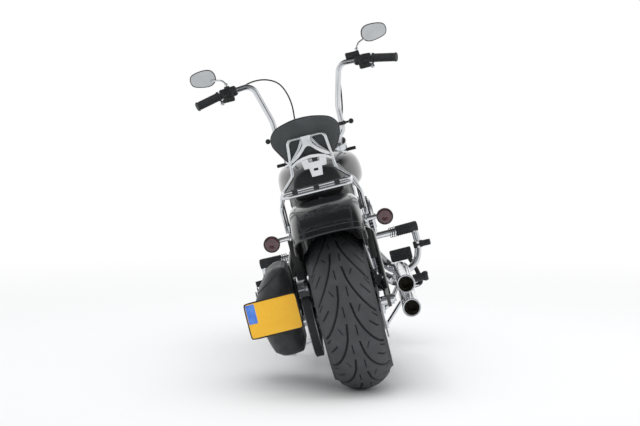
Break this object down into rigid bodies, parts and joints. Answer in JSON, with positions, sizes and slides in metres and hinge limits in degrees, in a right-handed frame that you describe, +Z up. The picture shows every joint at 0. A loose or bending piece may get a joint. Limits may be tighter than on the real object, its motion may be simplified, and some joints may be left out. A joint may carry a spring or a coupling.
{
  "type": "chopper motorcycle",
  "caption": "Chopper motorcycle with a wide rear tyre, a low seat with back pad, tall bars and twin mufflers, leaning on its side stand.",
  "frame": {"origin": "middle of the bounding box's underside, on the ground", "axes": "+Z up, +Y forwards from the rear wheel to the front wheel, +X to the rider's right"},
  "size_m": [1.1214, 2.38, 1.5059],
  "materials": {
    "gloss_black": "gloss",
    "chrome": "polished",
    "engine_alloy": "satin",
    "engine_black": "satin",
    "black_leather": "satin",
    "bag_leather": "matte",
    "smoked_lens": "gloss",
    "satin_black": "satin",
    "plate_yellow": "satin",
    "black_rubber": "matte",
    "grey_cover": "matte",
    "tyre_rubber": "matte",
    "wheel_black": "gloss",
    "steel": "brushed"
  },
  "bodies": {
    "frame": {"frame": "gloss_black", "swingarm": "gloss_black", "rear_axle": "chrome", "engine_case": "engine_alloy", "cylinders": "engine_black", "valve_train": "chrome", "engine_covers": "chrome", "air_cleaner": "chrome", "exhaust": "chrome", "fuel_tank": "gloss_black", "tank_console": "chrome", "oil_tank": "gloss_black", "rear_fender": "gloss_black", "fender_struts": "chrome", "seat": "black_leather", "sissy_bar": "chrome", "back_pad": "black_leather", "luggage_rack": "chrome", "rear_indicators": "smoked_lens", "plate_bracket": "satin_black", "number_plate": "plate_yellow", "saddlebag": "bag_leather", "drive_belt": "black_rubber", "belt_guard": "chrome", "engine_guard": "chrome", "rubber_pegs": "black_rubber", "foot_controls": "chrome", "rear_caliper": "satin_black", "clutch_cable": "grey_cover"},
    "fork": {"fork_legs": "chrome", "triple_clamps": "chrome", "handlebar": "chrome", "grips": "black_rubber", "hand_controls": "satin_black", "mirrors": "chrome", "front_indicators": "satin_black", "dock_studs": "chrome", "front_fender": "gloss_black", "headlamp": "chrome", "front_caliper": "satin_black", "brake_line": "grey_cover"},
    "rear_wheel": {"rear_tyre": "tyre_rubber", "rear_rim": "wheel_black", "rear_pulley": "steel", "rear_disc": "steel"},
    "front_wheel": {"front_tyre": "tyre_rubber", "front_rim": "wheel_black", "front_disc": "steel"},
    "side_stand": {"side_stand": "chrome"}
  },
  "joints": [
    {"name": "steering", "type": "hinge", "parent": "frame", "child": "fork", "pos_m": [0.04877, 0.42538, 0.78541], "axis": [-0.1996, -0.5727, 0.7951], "range_deg": [-32, 32], "deforming": ["clutch_cable"]},
    {"name": "front_wheel", "type": "hinge", "parent": "fork", "child": "front_wheel", "pos_m": [0.16134, 0.84501, 0.33677], "axis": [0.9699, 0.0003, 0.2436], "continuous": true},
    {"name": "rear_wheel", "type": "hinge", "parent": "frame", "child": "rear_wheel", "pos_m": [0.16622, -0.86501, 0.31927], "axis": [0.9699, 0.0003, 0.2436], "continuous": true},
    {"name": "side_stand", "type": "hinge", "parent": "frame", "child": "side_stand", "pos_m": [0.06496, 0.03474, 0.09746], "axis": [-0.5606, 0.0009, 0.8281], "range_deg": [0, 88]}
  ]
}
